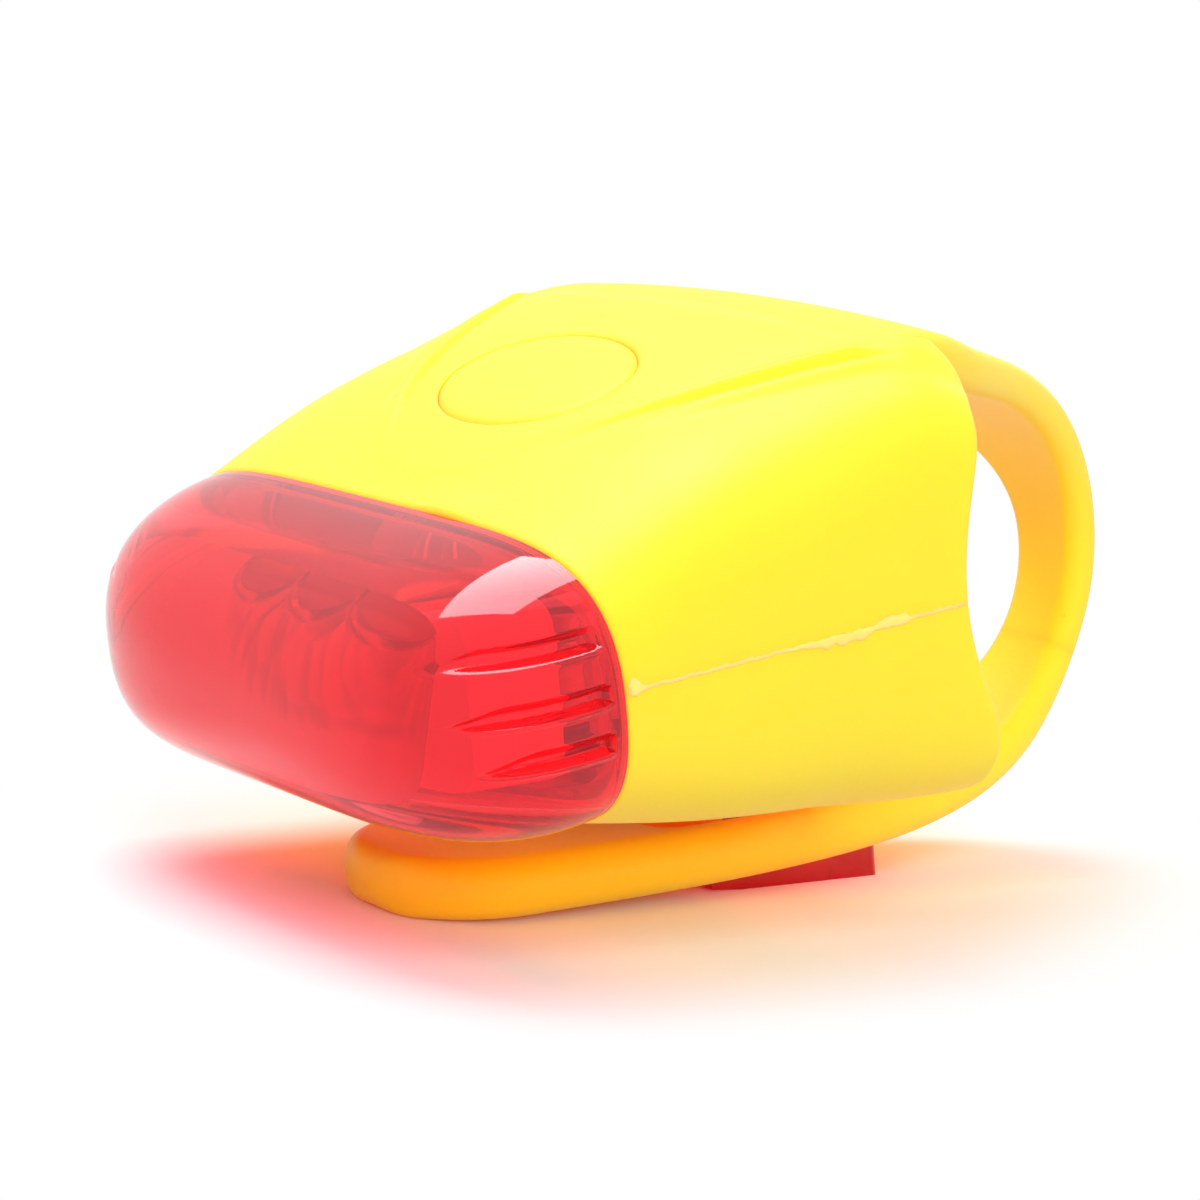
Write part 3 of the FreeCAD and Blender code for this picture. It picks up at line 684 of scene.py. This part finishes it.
def crest(x, depth):
    """Height added on top. The raised middle ends on a parabola, past whose edge lie a fine groove, two
    beads and the fall to the shoulder. It is crowned, and the lines fade where it runs into the strap."""
    off = (crest_nose + x ** 2 / crest_bow - depth) / np.sqrt(1 + (2 * x / crest_bow) ** 2)
    step = crease_step * np.maximum(depth, 0) / crease_full_y
    raised = (step - crest_fall * x ** 2) * (1 - smooth(off / crease_width))
    off_middle = smooth((np.abs(x) - plain_middle) / plain_middle_fade)
    lines = 0.0
    for height, place, width, start, sides_only in crest_lines:
        shown = smooth((depth - start) / crest_grow) * (off_middle if sides_only else 1.0)
        lines = lines + height * shown * bell(off, place, width)
    rear = 1 - smooth((depth - crest_end) / crest_end_fade)
    dimple = dimple_sink * bell(x, dimple_x, dimple_radius) * bell(depth, dimple_y, dimple_radius)
    return raised + lines * rear - dimple


# The strap's middle surface as half width, thickness, depth and height, from the root above the
# saddle round the back of the bar to the tip of the pull tab.
strap_points = np.array([
    (19.0, 3.2, 23.0, 13.1), (19.6, 3.2, 26.5, 13.95), (19.0, 3.2, 29.8, 14.0), (15.8, 3.01, 36.4, 11.5),
    (10.4, 2.7, 45.0, 7.9), (6.5, 2.7, 52.0, 3.4), (3.8, 2.7, 56.4, -3.2), (3.2, 2.7, 56.6, -9.2),
    (3.4, 2.7, 53.8, -14.9), (4.9, 2.97, 48.2, -19.1), (6.5, 3.6, 40.6, -20.6), (7.6, 3.88, 30.0, -20.35),
    (8.0, 4.0, 17.0, -18.95), (8.0, 4.0, 3.0, -17.05), (8.0, 4.0, -5.0, -15.95),
])


def spline(knots, values, at):
    """Natural cubic spline: one curve through all the values whose slope and bend never jump."""
    gaps = np.diff(knots)
    slopes = np.diff(values, axis=0) / gaps[:, None]
    count = len(knots)
    matrix = np.eye(count)
    target = np.zeros_like(values)
    inner = np.arange(1, count - 1)
    matrix[inner, inner - 1] = gaps[:-1]
    matrix[inner, inner] = 2 * (gaps[:-1] + gaps[1:])
    matrix[inner, inner + 1] = gaps[1:]
    target[1:-1] = 6 * (slopes[1:] - slopes[:-1])
    bend = np.linalg.solve(matrix, target)
    k = np.clip(np.searchsorted(knots, at, side="right") - 1, 0, count - 2)
    left = (at - knots[k])[:, None]
    gap = gaps[k][:, None]
    first = slopes[k] - gap * (2 * bend[k] + bend[k + 1]) / 6
    return values[k] + left * (first + left * (bend[k] / 2 + left * (bend[k + 1] - bend[k]) / (6 * gap)))


strap_rows = 4001
upper_rows = 1000
under_row = 2200
root_limit = 34.0
strap_knots = np.concatenate([[0.0], np.cumsum(np.hypot(*np.diff(strap_points[:, 2:], axis=0).T))])
strap_fine = np.linspace(0.0, strap_knots[-1], strap_rows)
strap_half, strap_thick, strap_y, strap_z = spline(strap_knots, strap_points, strap_fine).T
way_y = np.gradient(strap_y)
way_z = np.gradient(strap_z)
way_length = np.hypot(way_y, way_z)
out_y = -way_z / way_length
out_z = way_y / way_length
root_rows = (strap_y < root_limit) & (np.arange(strap_rows) < upper_rows)
outer_y = (strap_y + out_y * strap_thick / 2)[root_rows]
outer_z = (strap_z + out_z * strap_thick / 2)[root_rows]


def section(depth, inset):
    """The squared oval of the sleeve at a depth: half width, powers across and up, middle and half
    height."""
    grow = smooth(depth / nose_length)
    ear = smooth((depth - ear_start) / (body_length - ear_start))
    step = crease_step * np.maximum(depth, 0) / crease_full_y
    power_x = front_power_x + (rear_power_x - front_power_x) * grow + (ear_power_x - rear_power_x) * ear
    power_z = front_power_z + (rear_power_z - front_power_z) * grow + (ear_power_z - rear_power_z) * ear
    half = front_half_width + flank_flare * depth - inset
    top = top_height(depth) - step - inset
    low = bottom_height(depth) + inset
    return half, power_x, power_z, (top + low) / 2, (top - low) / 2


def top_surface(x, depth):
    """Height of the sleeve's top at a place across and along it, with its crest."""
    half, power_x, power_z, middle, rise = section(depth, 0.0)
    return middle + rise * (1 - (np.abs(x) / half) ** power_x) ** (1 / power_z) + crest(x, depth)


def sleeve_ring(turn, depth, inset, plain=False):
    """The sleeve at one depth: a squared oval with the crest on its upper half, drawn in by inset.
    Behind the crest the raised middle runs out level with the top of the strap."""
    half, power_x, power_z, middle, rise = section(depth, inset)
    x = half * power(np.cos(turn), 2 / power_x)
    z = middle + rise * power(np.sin(turn), 2 / power_z)
    if plain:
        return x, z
    over = np.sin(turn) > 0
    z = z + np.where(over, crest(x, depth), 0.0)
    strap_top = np.interp(depth, outer_y, outer_z) - inset - crest_fall * x ** 2
    half_root = np.interp(depth, strap_y[root_rows], strap_half[root_rows])
    settle = settle_high - settle_fall * smooth((depth - settle_from) / settle_length)
    on_root = 1 - smooth((np.abs(x) - half_root + merge_spill) / merge_fade)
    merge = smooth((depth - merge_from) / merge_length) * on_root
    z = np.where(over, z + (strap_top + settle - z) * merge, z)
    lip = lip_lift * bell(x, lip_lift_x, lip_lift_width) * (1 - smooth(depth / lip_lift_depth))
    return x, z + np.where(over, lip, 0.0)


sleeve_columns = 560
root_reach = 4.0
web_half = 26.4
web_width = 7.5
turns = even_turns(sleeve_columns, width=26.5, height=13.0, power_x=5.2, power_z=3.0, top_share=2.2)[None, :]
back = np.full_like(turns, 26.0)
# The back's depth hangs on its height and the height on the depth, so a few rounds settle them.
for _ in range(8):
    x, z = sleeve_ring(turns, back, rear_radius)
    tongue = np.where(np.sin(turns) > 0, smooth((web_half - np.abs(x)) / web_width), 0.0)
    back = rear_depth(np.minimum(z, saddle_top)) + root_reach * tongue


def ring(turn, depth, inset, plain=False):
    """Points of the sleeve at one depth and inset."""
    x, z = sleeve_ring(turn, depth, inset, plain)
    return np.stack([x, depth + 0 * x, z], axis=-1)


closing = np.array([0.0, 0.5, 0.9])[:, None]
cavity_middle = np.array([0.0, cavity_end, 1.0])
cavity_back = ring(turns, np.full_like(closing, cavity_end), sleeve_wall, plain=True)
cavity_back = cavity_middle + (cavity_back - cavity_middle) * closing[..., None]
cavity_depths = np.array([cavity_end, 16.0, 9.0, 3.0, 0.45])[:, None]
cavity = ring(turns, cavity_depths, sleeve_wall, plain=True)
rim_inside = ring(turns, np.array([[lip_gap]]), np.array([[1.0]]), plain=True)
rim_turn = np.linspace(np.pi / 2, 0.0, 6)[:, None]
rim_inset = rim_radius * (1 - np.cos(rim_turn)) + 0.0 * turns
rim = ring(turns, lip_gap + rim_radius * (1 - np.sin(rim_turn)), rim_inset)
steps = np.linspace(0.0, 1.0, 122)[1:, None]
flank_start = lip_gap + rim_radius
flank = ring(turns, flank_start + (back - rear_radius - flank_start) * steps, 0.0)
edge_turn = np.linspace(0.0, np.pi / 2, 7)[1:, None]
edge = ring(turns, back - rear_radius * (1 - np.sin(edge_turn)), rear_radius * (1 - np.cos(edge_turn)))
last = edge[-1]
pull = np.array([0.985, 0.965, 0.94, 0.91, 0.88, 0.84, 0.78, 0.7, 0.6, 0.48, 0.34, 0.18, 0.0])[:, None]
face_x = last[None, :, 0] * pull
face_z = saddle_height + (last[None, :, 2] - saddle_height) * pull
held = smooth((pull - 0.84) / 0.16) * root_reach * tongue
face = np.stack([face_x, rear_depth(np.minimum(face_z, saddle_top)) + held, face_z], axis=-1)
sleeve_rings = np.concatenate([cavity_back, cavity, rim_inside, rim, flank, edge, face])


def cut(piece, tool, sharp=35.0):
    """Cuts the tool's volume out of the piece for good, and removes the tool."""
    step = piece.modifiers.new("cut", "BOOLEAN")
    step.operation = "DIFFERENCE"
    step.solver = "EXACT"
    step.object = tool
    bpy.context.view_layer.update()
    done = bpy.data.meshes.new_from_object(piece.evaluated_get(bpy.context.evaluated_depsgraph_get()))
    old = piece.data
    piece.modifiers.clear()
    piece.data = done
    done.name = piece.name
    bpy.data.meshes.remove(old)
    spare = tool.data
    bpy.data.objects.remove(tool)
    bpy.data.meshes.remove(spare)
    done.shade_smooth()
    done.set_sharp_from_angle(angle=math.radians(sharp))


button_y = 13.1
button_half_x = 8.15
button_half_y = 5.45
button_slit = 0.05
button_lip = 0.45
button_dip = 0.26
oval_turn = np.linspace(0.0, 2 * np.pi, 241)[:-1][None, :]
oval_levels = np.array([-3.5, -0.26, -0.22, -0.17, -0.12, -0.08, -0.05, -0.025, 0.0, 0.6])[:, None]
lip_share = np.clip(1 + oval_levels / button_dip, 0.0, 1.0)
lip_flare = button_lip * (1 - np.sqrt(1 - lip_share ** 2)) + np.maximum(oval_levels, 0.0)
oval_x = (button_half_x + button_slit + lip_flare) * np.cos(oval_turn)
oval_y = button_y + (button_half_y + button_slit + lip_flare) * np.sin(oval_turn)
button_hole = np.stack([oval_x, oval_y, top_surface(oval_x, oval_y) + oval_levels], axis=-1)
sleeve = skin("sleeve_skin", sleeve_rings, yellow, None)
cut(sleeve, ring_mesh("button_tool", button_hole, caps=True))
hook_opening_half = 4.9
# The opening that lets the hook's stem out, seen from the side as depth and height.
hook_outline = np.array([
    (15.2, -9.5), (24.0, -9.5), (29.8, -13.3), (35.0, -16.7), (35.0, -20.0), (28.1, -20.0), (28.1, -18.6),
    (22.2, -15.3), (15.2, -13.7),
])
hook_y, hook_z = hook_outline.T
hook_x = hook_opening_half * np.array([[-1.0], [1.0]]) + 0 * hook_y
hook_hole = np.stack([hook_x, hook_y + 0 * hook_x, hook_z + 0 * hook_x], axis=-1)
cut(sleeve, ring_mesh("hook_tool", hook_hole, caps=True))
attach(sleeve, "lamp")
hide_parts("silicone_sleeve")


# Parting seam.
# Where the two halves of the mould met, a fine ridge of flash runs along each flank, from a nub at
# the front lip to the saddle, with two torn slivers toward the rear.
flash_yellow = silicone("silicone_flash", (0.98, 0.84, 0.20, 1), (0.97, 0.80, 0.14, 1))
seam_half = 0.13
seam_turn = np.linspace(0.0, 2 * np.pi, 17)[:-1][None, :]
seam_y = np.linspace(0.25, 24.6, 300)[:, None]
# Each part of the flash rises at one depth along the seam and falls at another.
nub = bell(seam_y, 0.7, 0.45)
torn = smooth((seam_y - 11.0) / 1.0) * (1 - smooth((seam_y - 20.0) / 1.0))
lower_sliver = smooth((seam_y - 11.3) / 3.6) * (1 - smooth((seam_y - 17.2) / 0.5))
lower_sliver = lower_sliver * (1 + 0.25 * np.sin(5.0 * seam_y))
upper_sliver = smooth((seam_y - 17.3) / 1.4) * (1 - smooth((seam_y - 20.0) / 0.35))
wobble = 0.03 * np.sin(3.1 * seam_y) + 0.025 * np.sin(7.3 * seam_y + 1.0) + 0.02 * np.sin(13.7 * seam_y)
seam_out = 0.07 + 0.02 * np.sin(2.3 * seam_y) + 0.08 * torn + 0.08 * nub
seam_up = seam_half + wobble + 0.6 * nub + 0.30 * upper_sliver
seam_low = seam_half - wobble + 0.3 * nub + 0.42 * lower_sliver + 0.16 * upper_sliver
seam_ends = smooth((seam_y - 0.2) / 0.3) * smooth((24.65 - seam_y) / 0.8)
seam_rise = np.where(np.sin(seam_turn) > 0, seam_up, seam_low) * np.sin(seam_turn)


def flank_reach(depth, z):
    """How far out the sleeve's flank stands at a depth and height: its squared oval solved for the width."""
    half, power_x, power_z, middle, rise = section(depth, 0.0)
    return half * (1 - (np.abs(z - middle) / rise) ** power_z) ** (1 / power_x)


seam_x = flank_reach(seam_y, seam_rise) + seam_out * seam_ends * np.cos(seam_turn)
for name, hand in (("seam_right", 1.0), ("seam_left", -1.0)):
    seam_rings = np.stack([hand * seam_x, seam_y + 0 * seam_x, seam_rise], axis=-1)
    skin(name, seam_rings, flash_yellow, "lamp")


# Button.
# An oval pad of the same silicone, level with the sleeve and parted from it by a fine moulded line.
pad_radii = np.array([
    0.0, 0.2, 0.4, 0.6, 0.75, 0.87, 0.91, 0.935, 0.955, 0.972, 0.987, 0.997, 1.0, 1.0, 1.0, 0.9, 0.5, 0.0,
])[:, None]
pad_drop = np.array([
    0, 0, 0, 0, 0, 0, 0.01, 0.03, 0.07, 0.12, 0.19, 0.26, 0.34, 0.8, 1.5, 1.5, 1.5, 1.5,
])[:, None]
pad_crown = 0.05
pad_x = button_half_x * pad_radii * np.cos(oval_turn)
pad_y = button_y + button_half_y * pad_radii * np.sin(oval_turn)
pad_z = top_surface(pad_x, pad_y) - pad_drop + pad_crown * (1 - pad_radii ** 2)
pad = skin("button_cap", np.stack([pad_x, pad_y, pad_z], axis=-1), yellow, "button")
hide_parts("button_pad")


# Strap and pull tab.
# The same silicone runs on from the raised middle, narrows round the bar and widens into a tongue with a
# long hole for the hook. It is made in two lengths that meet behind the bar.
# The strap gets a painted shade: its tone turns orange toward the tip of the pull tab.
strap_yellow = silicone("silicone_strap", sunny, sunny_deep, painted_shade_tone=(0.97, 0.60, 0.008, 1))
strap_roundness = 0.92
tip_depth = -3.6
tip_radius = 8.1
tip_rim = 1.6
tip_rim_power = 2.2
tab_limit = 20.0
clear_of_tip = 99.0
root_start = 26.0
meeting_point = 8


def oblong_turns(corner_steps, long_steps, short_steps):
    """Signs and directions of a rounded oblong's points, from corner to corner."""
    sx, sz, ax, az = [], [], [], []
    corners = ((1, 1, 0.0), (-1, 1, 90.0), (-1, -1, 180.0), (1, -1, 270.0))
    for index, (px, pz, start) in enumerate(corners):
        angles = np.radians(start + np.linspace(0.0, 90.0, corner_steps))
        nx, nz, _ = corners[(index + 1) % 4]
        steps = long_steps if px != nx else short_steps
        slide = np.linspace(0.0, 1.0, steps + 2)[1:-1]
        sx += [np.full(corner_steps, float(px)), px + (nx - px) * slide]
        sz += [np.full(corner_steps, float(pz)), pz + (nz - pz) * slide]
        ax += [np.cos(angles), np.full(steps, math.cos(angles[-1]))]
        az += [np.sin(angles), np.full(steps, math.sin(angles[-1]))]
    return [np.concatenate(part)[None, :] for part in (sx, sz, ax, az)]


def strap_length(name, at):
    """The strap from station to station: a rounded oblong set square to its path, closed at its ends.
    Near the tip its half width follows a circle and its thickness closes like a rim."""
    half, thick, y, z, ny, nz = (
        np.interp(at, strap_fine, row) for row in (strap_half, strap_thick, strap_y, strap_z, out_y, out_z))
    from_tip = np.where((z < 0) & (y < tab_limit), np.maximum(y - tip_depth, 0.0), clear_of_tip)
    in_arc = np.clip(from_tip / tip_radius, 0, 1)
    half = half * np.sqrt(np.maximum(1 - (1 - in_arc) ** 2, 0))
    in_rim = np.clip(from_tip / tip_rim, 0, 1)
    rise = thick / 2 * (1 - (1 - in_rim) ** tip_rim_power) ** (1 / tip_rim_power)
    radius = np.minimum(rise * strap_roundness, half * 0.95)
    sx, sz, ax, az = oblong_turns(corner_steps=9, long_steps=34, short_steps=3)
    across = sx * (half - radius)[:, None] + ax * radius[:, None]
    lift = sz * (rise - radius)[:, None] + az * radius[:, None]
    lift = lift - crest_fall * across ** 2 * smooth((z + 5.0) / 8.0)[:, None]
    rings = np.stack([across, y[:, None] + ny[:, None] * lift, z[:, None] + nz[:, None] * lift], axis=-1)
    first = np.array([0.0, y[0], z[0]]) + 0 * rings[:1]
    final = np.array([0.0, y[-1], z[-1]]) + 0 * rings[-1:]
    rings = np.concatenate([first, rings, final])
    return skin(name, rings, strap_yellow, None, sharp=50.0)


start_at = np.interp(root_start, strap_y[:upper_rows], strap_fine[:upper_rows])
meet_at = strap_knots[meeting_point] - 1.0
tip_at, tab_start = np.interp(
    (-tip_depth, -(tip_depth + tip_radius)), -strap_y[under_row:], strap_fine[under_row:])
run_at = np.linspace(meet_at, tab_start, 110)
round_at = tip_at - (tip_at - tab_start) * (1 - np.sin(np.linspace(0.0, np.pi / 2, 34)))[1:]
strap_upper = strap_length("strap_upper", np.linspace(start_at, meet_at, 120))
strap_tab = strap_length("strap_tab", np.concatenate([run_at, round_at]))

slot_half = 5.2
slot_front = 16.1
slot_back = 35.3
slot_corner = 1.6
slot_lip = 0.55
slot_rise = 1.93
slot_middle = (slot_front + slot_back) / 2
slot_reach = (slot_back - slot_front) / 2
sx, sz, ax, az = oblong_turns(corner_steps=9, long_steps=12, short_steps=30)
flare_levels = slot_rise + np.array([-0.6, -0.4, -0.2, -0.08, 0.0, 0.4, 1.6])
flare_levels = np.concatenate([-flare_levels[::-1], flare_levels])[:, None]
past = np.clip((np.abs(flare_levels) - slot_rise + slot_lip) / slot_lip, 0, 1)
flare = slot_lip * (1 - np.sqrt(1 - past ** 2)) + np.maximum(np.abs(flare_levels) - slot_rise, 0)
slot_x = sx * (slot_half - slot_corner) + ax * (slot_corner + flare)
slot_y = slot_middle + sz * (slot_reach - slot_corner) + az * (slot_corner + flare)
slot_z = np.interp(slot_y, strap_y[under_row:][::-1], strap_z[under_row:][::-1]) + flare_levels
cut(strap_tab, ring_mesh("slot_tool", np.stack([slot_x, slot_y, slot_z], axis=-1), caps=True))
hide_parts("strap_band")
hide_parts("strap_end")
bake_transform(strap_upper)
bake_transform(strap_tab)
